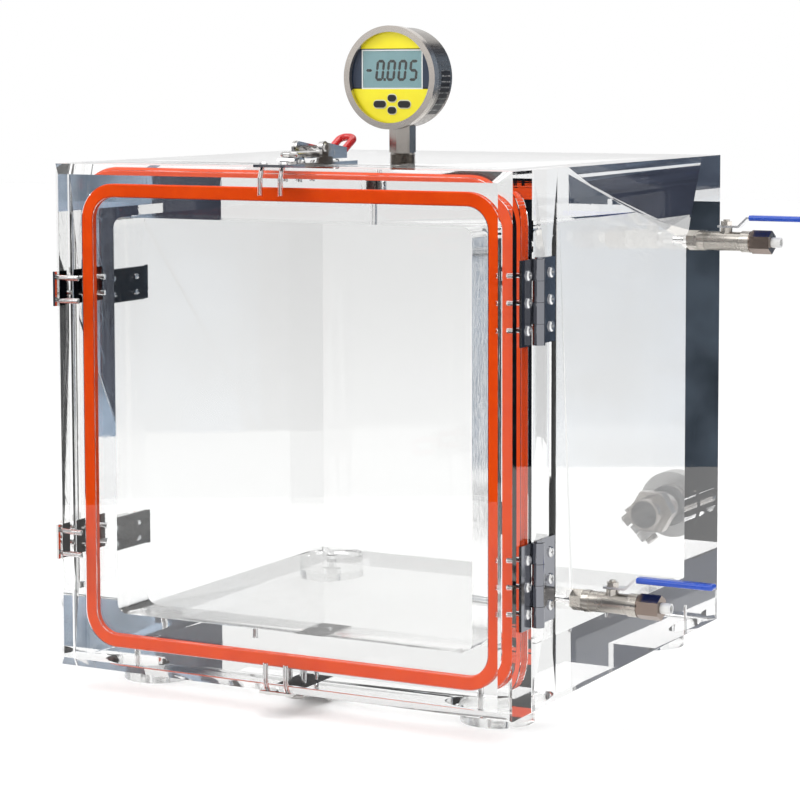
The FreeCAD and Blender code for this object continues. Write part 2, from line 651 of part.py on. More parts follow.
def latch_catch():
    """The hooked plate on the door's edge. The drawbar passes over its low nose."""
    thick = size("sheet_thick")
    start = -size("catch_start")
    end = -size("catch_end")
    nose = size("catch_nose")
    lip = 1.7
    points = [V(start, 0, 0), V(end, 0, 0), V(end, 0, nose - 0.8), V(end - 0.8, 0, nose),
              V(end - 5, 0, nose), V(end - 5.6, 0, nose - lip), V(end - thick, 0, nose - lip),
              V(end - thick, 0, thick), V(start, 0, thick)]
    edges = [Part.LineSegment(a, b).toShape() for a, b in zip(points, points[1:] + points[:1])]
    half = size("base_width") / 2
    side_view = Part.Face(Part.Wire(edges))
    side_view.translate(V(0, -half, 0))
    plate = feature("catch_blank", side_view.extrude(V(0, 2 * half, 0)))
    trims = []
    for side in (-1, 1):
        trim_y = "7" if side > 0 else "-base_width"
        trims.append(box("catch_trim_%d" % (side + 1), "9", "base_width - 7", "8", "-12", trim_y,
                         "sheet_thick"))
    holes = [cylinder("catch_hole_%d" % count, "screw_radius + drill_clear", "6", x, y, "-2")
             for count, (x, y) in enumerate(catch_screw_spots())]
    return cut("latch_catch", plate, *trims, *holes)


def latches():
    base_screws = []
    master = screw("base_screw", "screw_radius", "base_screw_depth", "head_radius", "head_height")
    for count, (x, y) in enumerate(base_screw_spots()):
        base_screws.append(copy_of(master, "base_screw_%d" % count, x, y, "sheet_thick"))
    catch_screws = []
    master = screw("catch_screw", "screw_radius", "catch_screw_depth", "head_radius", "head_height")
    for count, (x, y) in enumerate(catch_screw_spots()):
        catch_screws.append(copy_of(master, "catch_screw_%d" % count, x, y, "sheet_thick"))
    shared = {
        "latch_bases": latch_base(),
        "latch_rivets": latch_rivets(),
        "latch_base_screws": group("base_screw_set", base_screws),
        "latch_catches": latch_catch(),
        "latch_catch_screws": group("catch_screw_set", catch_screws),
    }
    nodes = {}
    for node, master in shared.items():
        nodes[node] = group(node, at_latches(master, node))
    drawbar = latch_drawbar()
    high = (latch_lever("lever_high", "grip_tilt"), latch_grip("grip_high", "grip_tilt"))
    low = (latch_lever("lever_low", "low_grip_tilt"), latch_grip("grip_low", "low_grip_tilt"))
    for key, spot in LATCHES.items():
        lever, grip = low if key == "bottom" else high
        for kind, master in (("lever", lever), ("grip", grip), ("drawbar", drawbar)):
            node = "latch_%s_%s" % (kind, key)
            nodes[node] = copy_of(master, node, *spot)
    return nodes


# ---- ball valves ---------------------------------------------------------------------------

VALVE_END = "wall_nut + valve_body"


def valve_body_master():
    """Threaded tail, neck, body and stem boss in one, with the bore and the ball's seat."""
    tail = cylinder("valve_tail", "valve_thread", "valve_socket + wall_nut + 2", "-valve_socket",
                    turn=TO_X)
    barrel = cylinder("valve_barrel", "valve_radius", "valve_body", "wall_nut", turn=TO_X)
    collar = cylinder("valve_collar", "valve_radius + 0.9", "7", "wall_nut + valve_body - 7",
                      turn=TO_X)
    shoulder = cylinder("valve_shoulder", "valve_radius + 0.6", "4.5", "wall_nut + 1.5", turn=TO_X)
    outlet = cylinder("valve_outlet", "valve_thread", "9", VALVE_END + " - 1", turn=TO_X)
    boss = cylinder("valve_boss", "4.6", "boss_top", "stem_x")
    solid = fuse("valve_solid", tail, barrel, collar, shoulder, outlet, boss)
    way = cylinder("valve_way", "valve_bore", "valve_socket + wall_nut + valve_body + 12",
                   "-valve_socket - 1", turn=TO_X)
    seat = doc.addObject("Part::Sphere", "valve_seat")
    bind(seat, Radius="ball_radius + 0.1")
    place(seat, "stem_x")
    gland = cylinder("valve_gland", "stem_radius + 0.06", "boss_top + 2", "stem_x")
    return cut("valve_body_blank", solid, way, seat, gland)


def valve_stem_master():
    """The bored ball with its stem, and the nut that holds the lever down."""
    ball = doc.addObject("Part::Sphere", "valve_ball")
    bind(ball, Radius="ball_radius")
    place(ball, "stem_x")
    shaft = cylinder("valve_shaft", "stem_radius", "boss_top + 6.4", "stem_x")
    way = cylinder("ball_way", "valve_bore - 0.2", "4*ball_radius", "stem_x - 2*ball_radius",
                   turn=TO_X)
    stem = cut("ball_and_stem", fuse("ball_solid", ball, shaft), way)
    nut_blank = hexagon("stem_nut_blank", "8", "3.2", "stem_x", "0", "boss_top + strip_thick + 0.15")
    nut_bore = cylinder("stem_nut_bore", "stem_radius", "6", "stem_x", "0", "boss_top")
    nut = cut("stem_nut", nut_blank, nut_bore)
    return group("valve_stem_set", [stem, nut])


def strip(points, thick, half_width):
    """A flat bar of even thickness whose middle line, seen from the side, is the points."""
    upper = []
    lower = []
    for count, point in enumerate(points):
        before = points[max(count - 1, 0)]
        after = points[min(count + 1, len(points) - 1)]
        into = (point - before).normalize() if count else (after - point).normalize()
        out = (after - point).normalize() if count < len(points) - 1 else into
        normal = V(-into.z - out.z, 0, into.x + out.x).normalize()
        reach = thick / 2 / normal.dot(V(-into.z, 0, into.x))
        upper.append(point + normal * reach)
        lower.append(point - normal * reach)
    corners = upper + lower[::-1]
    edges = [Part.LineSegment(a, b).toShape() for a, b in zip(corners, corners[1:] + corners[:1])]
    side_view = Part.Face(Part.Wire(edges))
    side_view.translate(V(0, -half_width, 0))
    return side_view.extrude(V(0, 2 * half_width, 0))


def valve_lever_master():
    """The steel strip: flat under the nut, a rising bend, then flat under the sleeve."""
    low = size("boss_top") + 0.1 + size("strip_thick") / 2
    high = size("sleeve_height")
    start = size("stem_x")
    rise = high - low
    bend = start + size("sleeve_start") - 2 - rise
    points = [V(start - 6, 0, low), V(bend, 0, low), V(bend + rise, 0, high),
              V(start + size("lever_reach") - 3, 0, high)]
    blank = feature("valve_strip", strip(points, size("strip_thick"), size("strip_width") / 2))
    hole = cylinder("strip_hole", "stem_radius", "10", "stem_x", "0", "boss_top - 2")
    return cut("valve_lever_blank", blank, hole)


def valve_sleeve_master():
    """The dipped plastic sleeve: a flat bar with round edges and end, round the strip."""
    thick = size("sleeve_thick")
    half = size("sleeve_width") / 2 - thick / 2
    start = size("stem_x") + size("sleeve_start")
    end = size("stem_x") + size("lever_reach")
    high = size("sleeve_height")
    bar = Part.makeBox(end - start - thick / 2, 2 * half, thick, V(start, -half, high - thick / 2))
    for side in (-half, half):
        rim = Part.makeCylinder(thick / 2, end - start - thick / 2, V(start, side, high), V(1, 0, 0))
        tip = Part.makeSphere(thick / 2, V(end - thick / 2, side, high))
        bar = bar.fuse([rim, tip])
    front = Part.makeCylinder(thick / 2, 2 * half, V(end - thick / 2, -half, high), V(0, 1, 0))
    bar = bar.fuse(front).removeSplitter()
    core = Part.makeBox(size("lever_reach"), size("strip_width"), size("strip_thick"),
                        V(start - 1, -size("strip_width") / 2, high - size("strip_thick") / 2))
    reach = end - 3
    core = core.common(Part.makeBox(reach - start + 1, 40, 40, V(start - 1, -20, high - 20)))
    return feature("valve_sleeve_blank", bar.cut(core))


def valves():
    wall_nut = cut("wall_nut_blank", hexagon("wall_nut_hex", "wall_nut_flats", "wall_nut", turn=TO_X),
                   cylinder("wall_nut_bore", "valve_thread", "wall_nut + 2", "-1", turn=TO_X))
    washer = cut("washer_blank", cylinder("washer_disc", "valve_radius + 0.4", "washer_thick",
                                          VALVE_END, turn=TO_X),
                 cylinder("washer_bore", "valve_thread", "washer_thick + 2", VALVE_END + " - 1",
                          turn=TO_X))
    nut_x = VALVE_END + " + washer_thick"
    end_hex = hexagon("end_nut_hex", "end_nut_flats", "end_nut", nut_x, turn=TO_X)
    end_bore = cylinder("end_nut_bore", "valve_thread", "8.5", nut_x + " - 1", turn=TO_X)
    end_exit = cylinder("end_nut_exit", "tube_radius + 0.05", "end_nut + 2", nut_x, turn=TO_X)
    end_nut = cut("end_nut_blank", end_hex, end_bore, end_exit)
    tube_x = nut_x + " + 8"
    held = cylinder("tube_held_end", "tube_radius - 0.3", "end_nut - 8 + tube_out", tube_x, turn=TO_X)
    rod = cylinder("tube_rod", "tube_radius", "tube_out - tube_neck", nut_x + " + end_nut + tube_neck",
                   turn=TO_X)
    tube = cut("tube_blank", fuse("tube_solid", held, rod),
               cylinder("tube_bore", "tube_radius - 1.2", "end_nut + tube_out", tube_x + " - 1",
                        turn=TO_X))
    fixed = {"valve_bodies": valve_body_master(), "valve_wall_nuts": wall_nut,
             "valve_washers": washer, "valve_end_nuts": end_nut, "valve_tube_ends": tube}
    nodes = {node: group(node, at_valves(master, node)) for node, master in fixed.items()}
    moving = {"valve_stem": valve_stem_master(), "valve_lever": valve_lever_master(),
              "valve_sleeve": valve_sleeve_master()}
    for kind, master in moving.items():
        for key, spot in VALVES.items():
            node = "%s_%s" % (kind, key)
            nodes[node] = copy_of(master, node, *spot)
    return nodes


# ---- vacuum port ---------------------------------------------------------------------------

PORT_MIDDLE = BACK_Y + " + port_face + ring_gap/2"


def port_disc(name, start, sign):
    """The rim of a small flange on the port's axis, drawn back from its face."""
    turn = TO_Y if sign > 0 else TO_MINUS_Y
    return cylinder(name, "flange_radius", "flange_thick", "port_x", start, "port_z", turn)


def port_tube(name, radius, length, start):
    return cylinder(name, radius, length, "port_x", start, "port_z", TO_Y)


def port_nipple():
    start = BACK_Y + " - wall - port_inside"
    pipe = port_tube("nipple_pipe", "port_outer", "wall + port_inside + port_face", start)
    disc = port_disc("nipple_disc", BACK_Y + " + port_face", -1)
    stop = port_tube("nipple_stop", "port_outer + 4", "port_face", BACK_Y)
    bore = port_tube("nipple_bore", "port_inner", "wall + port_inside + port_face + 2",
                     start + " - 1")
    recess = port_tube("nipple_recess", "ring_outer + 0.1", "recess_depth + 1",
                       BACK_Y + " + port_face - recess_depth")
    return cut("port_nipple", fuse("nipple_solid", pipe, disc, stop), bore, recess)


def port_nut():
    nut_y = BACK_Y + " - wall - port_nut_thick"
    hexa = hexagon("port_nut_hex", "port_nut_flats", "port_nut_thick", "port_x", nut_y, "port_z", TO_Y)
    return cut("port_inner_nut", hexa, port_tube("port_nut_bore", "port_outer", "port_nut_thick + 2",
                                                 nut_y + " - 1"))


def centering_ring():
    ring = port_tube("ring_sleeve", "ring_outer", "ring_gap + 2*recess_depth - 0.4",
                     PORT_MIDDLE + " - ring_gap/2 - recess_depth + 0.2")
    rib = port_tube("ring_rib", "ring_outer + 1.9", "ring_gap - 0.6",
                    PORT_MIDDLE + " - ring_gap/2 + 0.3")
    bore = port_tube("ring_bore", "port_inner", "20", PORT_MIDDLE + " - 10")
    return cut("centering_ring", fuse("ring_solid", ring, rib), bore)


def ring_seal():
    seal = doc.addObject("Part::Torus", "port_o_ring")
    bind(seal, Radius1="ring_outer + 3.9", Radius2="ring_gap/2 - 0.02")
    return place(seal, "port_x", PORT_MIDDLE, "port_z", TO_Y)


def hose_adapter():
    """The mating flange with a barbed hose tail."""
    start = PORT_MIDDLE + " + ring_gap/2"
    disc = port_disc("adapter_disc", start, 1)
    neck = port_tube("adapter_neck", "port_outer + 4", "8", start)
    taper = cone("adapter_taper", "port_outer + 4", "hose_radius", "7", "port_x", start + " + 8",
                 "port_z", TO_Y)
    pipe = port_tube("adapter_pipe", "hose_radius", "hose_length", start + " + 2")
    barbs = [cone("barb_%d" % count, "hose_radius + 1.2", "hose_radius", "5", "port_x",
                  start + " + hose_length - 23 + %g" % (5.5 * count), "port_z", TO_Y)
             for count in range(3)]
    bore = port_tube("adapter_bore", "hose_radius - 1.8", "hose_length + 6", start + " - 1")
    recess = port_tube("adapter_recess", "ring_outer + 0.1", "recess_depth + 1", start + " - 1")
    return cut("hose_adapter", fuse("adapter_solid", disc, neck, taper, pipe, *barbs), bore, recess)


def clamp_half(name, side):
    """Half of the ring clamp in its own frame: the port's axis is y, the hinge is at +x and the
    bolt at -x. Its groove holds the rims of both flanges."""
    ring = cylinder(name + "_ring", "clamp_radius", "clamp_width", "0", "-clamp_width/2", "0", TO_Y)
    bolt_ear = box(name + "_bolt_ear", "16", "12", "ear_height", "-clamp_bolt_x - 6", "-6", "0")
    hinge_ear = box(name + "_hinge_ear", "9", "clamp_width", "5", "clamp_radius - 3",
                    "-clamp_width/2", "0")
    if side < 0:
        place(bolt_ear, "-clamp_bolt_x - 6", "-6", "-ear_height")
        place(hinge_ear, "clamp_radius - 3", "-clamp_width/2", "-5")
    solid = fuse(name + "_solid", ring, bolt_ear, hinge_ear)
    groove = cylinder(name + "_groove", "flange_radius + clamp_clear",
                      "ring_gap + 2*flange_thick + 2*clamp_clear", "0",
                      "-ring_gap/2 - flange_thick - clamp_clear", "0", TO_Y)
    throat = cylinder(name + "_throat", "port_outer + 4.2", "clamp_width + 2", "0",
                      "-clamp_width/2 - 1", "0", TO_Y)
    bolt_hole = cylinder(name + "_bolt_hole", "bolt_radius + 0.1", "4*ear_height", "-clamp_bolt_x",
                         "0", "-2*ear_height")
    waste = box(name + "_waste", "160", "60", "80.8", "-80", "-30", "-80.4")
    if side < 0:
        place(waste, "-80", "-30", "-0.4")
    return cut(name, solid, groove, throat, bolt_hole, waste)


def wing_nut_master():
    """A round hub with two upright wings, in the clamp's frame, on the bolt's upper end."""
    base_z = "ear_height + 0.1"
    hub = cone("wing_hub", "5.4", "4.2", "6", "-clamp_bolt_x", "0", base_z)
    wings = []
    for side in (-1, 1):
        start = "-clamp_bolt_x + 3" if side > 0 else "-clamp_bolt_x - wing_reach"
        wings.append(box("wing_%d" % (side + 1), "wing_reach - 3", "2", "9", start, "-1",
                         "ear_height + 2.6"))
    solid = fuse("wing_solid", hub, *wings)
    bore = cylinder("wing_bore", "bolt_radius + 0.05", "30", "-clamp_bolt_x", "0", "0")
    return cut("wing_nut_blank", solid, bore)


def port():
    """The port's own pieces, and the ring clamp turned so that its bolt is low on the left."""
    turn = FreeCAD.Rotation(V(0, 1, 0), 180 - DIMENSIONS["clamp_angle"])
    spot = ("port_x", PORT_MIDDLE, "port_z", turn)
    halves = [copy_of(clamp_half("clamp_upper", 1), "clamp_upper_half", *spot),
              copy_of(clamp_half("clamp_lower", -1), "clamp_lower_half", *spot)]
    shank = cylinder("bolt_shank", "bolt_radius", "2*ear_height + 14", "-clamp_bolt_x", "0",
                     "-ear_height")
    head = hexagon("bolt_head", "10", "4", "-clamp_bolt_x", "0", "-ear_height - 4")
    bolt = fuse("clamp_bolt_master", shank, head)
    pin = cylinder("clamp_pin", "1.6", "clamp_width + 3", "clamp_radius + 3", "-clamp_width/2 - 1.5",
                   "0", TO_Y)
    pin_holes = [cylinder("clamp_pin_hole", "1.6", "40", "clamp_radius + 3", "-20", "0", TO_Y)]
    hinge_cut = copy_of(pin_holes[0], "clamp_pin_way", *spot)
    bored = [cut("clamp_half_%d" % count, half, hinge_cut) for count, half in enumerate(halves)]
    return {
        "port_nipple": port_nipple(),
        "port_inner_nut": port_nut(),
        "centering_ring": group("centering_ring_set", [centering_ring(), ring_seal()]),
        "hose_adapter": hose_adapter(),
        "clamp_halves": group("clamp_halves", bored),
        "clamp_bolt": group("clamp_bolt", [copy_of(bolt, "clamp_bolt_placed", *spot),
                                           copy_of(pin, "clamp_pin_placed", *spot)]),
        "wing_nut": copy_of(wing_nut_master(), "wing_nut", *spot),
    }


# ---- gauge ---------------------------------------------------------------------------------

GAUGE_Z = BOX_TOP + " + gauge_height"
BEZEL_Y = "gauge_y - gauge_front"


def gauge_disc(name, radius, length, offset):
    """A disc on the gauge's axis that starts the offset behind the bezel's front."""
    return cylinder(name, radius, length, "gauge_x", BEZEL_Y + " + " + offset, GAUGE_Z, TO_Y)


def gauge_stem():
    """The hexagon with its threaded spigot into the lid, and a plain neck into the case."""
    radius = size("stem_thread")
    pitch = size("thread_pitch")
    low = -size("stem_socket")
    high = size("stem_thread_top")
    depth = 0.9
    points = [V(0, 0, low), V(radius - depth, 0, low)]
    turns = int((high - low) / pitch)
    for turn in range(turns):
        points.append(V(radius, 0, low + (turn + 0.5) * pitch))
        points.append(V(radius - depth, 0, low + (turn + 1) * pitch))
    points += [V(radius - depth, 0, high), V(0, 0, high)]
    kept = [point for count, point in enumerate(points)
            if count == 0 or (point - points[count - 1]).Length > 1e-6]
    edges = [Part.LineSegment(a, b).toShape() for a, b in zip(kept, kept[1:] + kept[:1])]
    thread = Part.Face(Part.Wire(edges)).revolve(V(0, 0, 0), V(0, 0, 1), 360)
    spigot = feature("stem_spigot", thread, "gauge_x", "gauge_y", BOX_TOP)
    spin = FreeCAD.Rotation(V(0, 0, 1), 30)
    hexa = hexagon("stem_hex", "stem_flats", "gauge_height - gauge_radius - stem_thread_top + 4",
                   "gauge_x", "gauge_y", BOX_TOP + " + stem_thread_top", spin)
    neck = cylinder("stem_neck", "6", "gauge_height - gauge_radius + 8", "gauge_x", "gauge_y", BOX_TOP)
    bore = cylinder("stem_bore", "2", "80", "gauge_x", "gauge_y", BOX_TOP + " - stem_socket - 1")
    solid = fuse("stem_solid", spigot, hexa, neck)
    case = gauge_disc("stem_case_space", "gauge_radius - case_gap", "gauge_depth - case_start",
                      "case_start")
    return cut("gauge_stem", solid, bore, case)


def gauge_case():
    shell = gauge_disc("case_drum", "gauge_radius - case_gap", "gauge_depth - case_start", "case_start")
    room = gauge_disc("case_room", "gauge_radius - case_gap - case_wall", "gauge_depth - case_wall - 8",
                      "8")
    mouth = gauge_disc("case_mouth", "gauge_radius - case_gap - case_wall", "10", "-1")
    return cut("gauge_case", shell, room, mouth)


def gauge_bezel():
    ring = gauge_disc("bezel_drum", "gauge_radius", "bezel_depth", "0")
    opening = gauge_disc("bezel_opening", "gauge_radius - bezel_width", "bezel_depth + 2", "-1")
    seat = gauge_disc("bezel_seat", "gauge_radius - case_gap", "bezel_depth", "case_start")
    return cut("gauge_bezel", ring, opening, seat)


def pill(name, wide, start, length):
    """A button's outline, a bar with round ends, on the gauge's face."""
    run = "(%s - button_tall)" % wide
    bar = box(name + "_bar", run, length, "button_tall", "-%s/2" % run, start, "-button_tall/2")
    ends = [cylinder("%s_end_%d" % (name, count), "button_tall/2", length, side + run + "/2", start,
                     "0", TO_Y) for count, side in enumerate(("-", ""))]
    return fuse(name, bar, *ends)


BUTTONS = {
    "left": ("-button_pitch", "0", "button_wide"),
    "right": ("button_pitch", "0", "button_wide"),
    "upper": ("0", "button_lift", "button_narrow"),
    "lower": ("0", "-button_lift", "button_narrow"),
}


def button_spot(key):
    across, up, _ = BUTTONS[key]
    return ("gauge_x + " + across, BEZEL_Y + " + face_recess", GAUGE_Z + " - button_drop + " + up)


def gauge():
    """Case, bezel, coloured face, display with its lens and the four keys in the face."""
    face_disc = gauge_disc("face_disc", "gauge_radius - case_gap - case_wall - 0.1", "face_thick",
                           "face_recess")
    lcd_hole = box("lcd_hole", "lcd_width", "face_thick + 2", "lcd_height", "gauge_x - lcd_width/2",
                   BEZEL_Y + " + face_recess - 1", GAUGE_Z + " + lcd_raise - lcd_height/2")
    holes = [lcd_hole]
    buttons = {}
    for key, (_, _, wide) in BUTTONS.items():
        hole = pill("key_hole_" + key, wide + " + 0.2", "-2", "6")
        holes.append(copy_of(hole, "key_way_" + key, *button_spot(key)))
        key_solid = pill("key_" + key, wide, "-button_proud", "button_proud + face_thick - 0.2")
        buttons["gauge_button_" + key] = copy_of(key_solid, "gauge_button_" + key, *button_spot(key))
    corner_x = "gauge_x - lcd_width/2 + 0.05"
    corner_z = GAUGE_Z + " + lcd_raise - lcd_height/2 + 0.05"
    lens_y = BEZEL_Y + " + face_recess"
    lens = box("gauge_lens", "lcd_width - 0.1", "lens_thick", "lcd_height - 0.1", corner_x, lens_y,
               corner_z)
    lcd = box("gauge_lcd", "lcd_width - 0.1", "lcd_thick", "lcd_height - 0.1", corner_x,
              lens_y + " + lens_thick + 0.1", corner_z)
    nodes = {
        "gauge_stem": gauge_stem(),
        "gauge_case": gauge_case(),
        "gauge_bezel": gauge_bezel(),
        "gauge_lens": lens,
        "gauge_face": cut("gauge_face", face_disc, *holes),
        "gauge_lcd": lcd,
    }
    nodes.update(buttons)
    return nodes


# ---- checks and export ---------------------------------------------------------------------

def check_document():
    for item in doc.Objects:
        if "Invalid" in item.State or "Error" in item.State:
            raise RuntimeError("%s: %s" % (item.Name, item.State))


def export(nodes):
    os.makedirs("parts", exist_ok=True)
    for node, item in nodes.items():
        item.Label = node
        shape = item.Shape
        if shape.isNull() or not shape.isValid() or not shape.Solids:
            raise RuntimeError("%s has no valid solid" % node)
        shape.exportStep("parts/%s.step" % node)
        print("%-28s solids %2d volume %10.1f" % (node, len(shape.Solids), shape.Volume))


def main():
    fill_sheet()
    holes = drills()
    nodes = chamber(holes)
    nodes.update(feet())
    nodes["door_panel"] = cut("door_panel", door_blank(), holes)
    nodes["door_gasket"] = door_seal()
    nodes.update(hinges())
    nodes.update(latches())
    nodes.update(valves())
    nodes.update(port())
    nodes.update(gauge())
    doc.recompute()
    check_document()
    export(nodes)


main()
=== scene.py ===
"""Looks for the clear chamber box: polished acrylic, metal fittings, the gauge's face and
display, and the studio round it. Lengths are metres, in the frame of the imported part."""
import bpy
import bmesh
import math
from mathutils import Matrix, Vector


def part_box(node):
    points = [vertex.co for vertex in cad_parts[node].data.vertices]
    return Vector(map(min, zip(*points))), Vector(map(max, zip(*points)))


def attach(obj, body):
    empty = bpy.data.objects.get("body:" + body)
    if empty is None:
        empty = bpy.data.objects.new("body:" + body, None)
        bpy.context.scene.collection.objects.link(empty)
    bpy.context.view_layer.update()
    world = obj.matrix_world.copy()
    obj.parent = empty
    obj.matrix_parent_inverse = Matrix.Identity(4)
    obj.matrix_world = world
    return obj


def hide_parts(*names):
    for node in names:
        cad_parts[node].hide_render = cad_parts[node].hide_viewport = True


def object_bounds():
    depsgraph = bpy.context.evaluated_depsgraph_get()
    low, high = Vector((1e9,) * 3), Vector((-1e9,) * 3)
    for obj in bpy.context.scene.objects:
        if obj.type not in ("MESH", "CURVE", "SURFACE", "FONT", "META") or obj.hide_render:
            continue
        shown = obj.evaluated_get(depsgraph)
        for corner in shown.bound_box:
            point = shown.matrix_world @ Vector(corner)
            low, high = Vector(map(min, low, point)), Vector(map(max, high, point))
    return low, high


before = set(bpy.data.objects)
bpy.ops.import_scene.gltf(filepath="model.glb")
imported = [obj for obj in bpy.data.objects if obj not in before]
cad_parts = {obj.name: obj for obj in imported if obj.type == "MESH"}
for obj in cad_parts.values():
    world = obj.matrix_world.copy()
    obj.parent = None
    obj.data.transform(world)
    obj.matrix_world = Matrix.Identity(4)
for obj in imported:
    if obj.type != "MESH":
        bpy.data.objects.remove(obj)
CAD_BOX = [list(corner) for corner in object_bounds()]
MM = 0.001
LATCHES = ("top", "bottom", "left_upper", "left_lower")
CLEAR_NODES = ("front_flange", "left_wall", "right_wall", "top_panel", "bottom_panel",
               "back_panel", "feet")


# ---- node graphs ---------------------------------------------------------------------------

class Graph:
    """A material's node tree with short calls for the nodes used here."""

    def __init__(self, name):
        self.material = bpy.data.materials.new(name)
        self.material.use_nodes = True
        self.tree = self.material.node_tree
        self.shader = self.tree.nodes["Principled BSDF"]
        self.coords = None

    def node(self, kind, **settings):
        made = self.tree.nodes.new(kind)
        for name, value in settings.items():
            setattr(made, name, value)
        return made

    def feed(self, socket, value):
        if isinstance(value, bpy.types.NodeSocket):
            self.tree.links.new(value, socket)
        else:
            socket.default_value = value

    def place(self):
        """The point on the piece in the part's own frame, which moves with the piece."""
        if self.coords is None:
            self.coords = self.node("ShaderNodeTexCoord").outputs["Object"]
        return self.coords

    def axes(self):
        split = self.node("ShaderNodeSeparateXYZ")
        self.feed(split.inputs[0], self.place())
        return split.outputs[0], split.outputs[1], split.outputs[2]

    def math(self, operation, first, second=0.0):
        made = self.node("ShaderNodeMath", operation=operation)
        self.feed(made.inputs[0], first)
        self.feed(made.inputs[1], second)
        return made.outputs[0]

    def stretched(self, stretch):
        mapping = self.node("ShaderNodeMapping")
        self.feed(mapping.inputs["Vector"], self.place())
        mapping.inputs["Scale"].default_value = stretch
        return mapping.outputs[0]

    def noise(self, scale, detail=3.0, rough=0.55, stretch=(1, 1, 1)):
        made = self.node("ShaderNodeTexNoise")
        self.feed(made.inputs["Vector"], self.stretched(stretch))
        made.inputs["Scale"].default_value = scale
        made.inputs["Detail"].default_value = detail
        made.inputs["Roughness"].default_value = rough
        return made.outputs["Fac"]

    def cells(self, scale, stretch):
        made = self.node("ShaderNodeTexVoronoi", feature="DISTANCE_TO_EDGE")
        self.feed(made.inputs["Vector"], self.stretched(stretch))
        made.inputs["Scale"].default_value = scale
        return made.outputs["Distance"]

    def span(self, value, low, high, start=0.0, end=1.0):
        """The value carried over from low..high to start..end, and held at the ends."""
        made = self.node("ShaderNodeMapRange")
        made.clamp = True
        for socket, given in zip(("Value", "From Min", "From Max", "To Min", "To Max"),
                                 (value, low, high, start, end)):
            self.feed(made.inputs[socket], given)
        return made.outputs[0]

    def inside(self, value, low, high):
        """1 where the value lies between the limits, else 0."""
        above = self.math("GREATER_THAN", value, low)
        below = self.math("LESS_THAN", value, high)
        return self.math("MULTIPLY", above, below)

    def blend(self, factor, first, second):
        made = self.node("ShaderNodeMix", data_type="RGBA")
        self.feed(made.inputs["Factor"], factor)
        for socket, given in ((made.inputs[6], first), (made.inputs[7], second)):
            if not isinstance(given, bpy.types.NodeSocket):
                given = (*given, 1.0)
            self.feed(socket, given)
        return made.outputs[2]

    def bump(self, height, strength, distance, normal=None):
        made = self.node("ShaderNodeBump")
        made.inputs["Strength"].default_value = strength
        made.inputs["Distance"].default_value = distance
        self.feed(made.inputs["Height"], height)
        if normal is not None:
            self.feed(made.inputs["Normal"], normal)
        return made.outputs[0]

    def painted_edge_highlight(self):
        """Near 1 along outer edges, where a highlight is painted into the colour."""
        geometry = self.node("ShaderNodeNewGeometry")
        return self.span(geometry.outputs["Pointiness"], 0.52, 0.6)

    def put(self, **values):
        """Set or link the shader's sockets, with _ for each blank in a socket's name."""
        for name, value in values.items():
            self.feed(self.shader.inputs[name.replace("_", " ")], value)


def scaled(colour, factor):
    return tuple(min(1.0, channel * factor) for channel in colour)


def metal(name, colour, low, high, grain=900.0, stretch=(1, 1, 1), bump=0.05):
    """Bare or plated metal: roughness and colour vary, a painted highlight lightens the outer
    edges, fine machining grain in the bump.
    """
    g = Graph(name)
    broad = g.noise(60.0, 4.0)
    fine = g.noise(grain, 2.0, 0.6, stretch)
    base = g.blend(g.span(broad, 0.3, 0.7), scaled(colour, 0.85), colour)
    # Painted highlight: the base colour is made lighter along the outer edges.
    g.put(Base_Color=g.blend(g.painted_edge_highlight(), base, scaled(colour, 1.15)), Metallic=1.0)
    polish = g.span(broad, 0.25, 0.75, low, high)
    g.put(Roughness=g.math("ADD", polish, g.math("MULTIPLY", fine, 0.05)))
    g.put(Normal=g.bump(fine, bump, 0.2 * MM))
    return g.material


def plastic(name, colour, rough, coat=0.0):
    """Moulded or dipped plastic with slight clouding and a fine grain."""
    g = Graph(name)
    broad = g.noise(90.0, 4.0)
    fine = g.noise(1800.0, 3.0)
    g.put(Base_Color=g.blend(g.span(broad, 0.3, 0.7), scaled(colour, 0.88), colour))
    g.put(Roughness=g.span(broad, 0.2, 0.8, rough * 0.8, rough * 1.25))
    g.put(Normal=g.bump(fine, 0.06, 0.2 * MM))
    g.put(Coat_Weight=coat, Coat_Roughness=0.08)
    return g.material


def acrylic(name, sawn=None):
    """Clear cast sheet with faint handling scratches. Sawn gives the low and high Y and the
    reach from the middle in X between which the cut edges keep fine tool streaks."""
    g = Graph(name)
    scratches = g.cells(55.0, (1.0, 1.0, 0.35))
    smear = g.noise(14.0, 4.0, 0.6)
    rough = g.span(smear, 0.45, 0.8, 0.0, 0.012)
    normal = g.bump(g.span(scratches, 0.0, 0.01), 0.02, 0.1 * MM)
    g.put(Base_Color=(0.932, 0.934, 0.93, 1.0), IOR=1.49, Transmission_Weight=1.0)
    if sawn:
        low, high, reach = sawn
        x, y, _ = g.axes()
        across = g.math("LESS_THAN", g.math("ABSOLUTE", x), reach)
        cut = g.math("MULTIPLY", g.inside(y, low, high), across)
        streaks = g.noise(420.0, 3.0, 0.6, (1.0, 1.0, 0.06))
        satin = g.math("MULTIPLY", cut, g.span(streaks, 0.3, 0.7, 0.03, 0.14))
        rough = g.math("MAXIMUM", rough, satin)
        normal = g.bump(g.math("MULTIPLY", cut, streaks), 0.35, 0.4 * MM, normal)
    g.put(Roughness=rough, Normal=normal)
    return g.material


def silicone():
    """The seal's orange rubber. Wet against the acrylic, it has hardly any gloss of its own."""
    g = Graph("orange_silicone")
    broad = g.noise(70.0, 4.0)
    fine = g.noise(1500.0, 2.0)
    base = g.blend(g.span(broad, 0.3, 0.7), (0.93, 0.07, 0.001), (1.0, 0.09, 0.0015))
    g.put(Base_Color=base, Roughness=g.span(fine, 0.3, 0.7, 0.38, 0.5))
    g.put(Normal=g.bump(fine, 0.1, 0.2 * MM), Specular_IOR_Level=0.08)
    return g.material


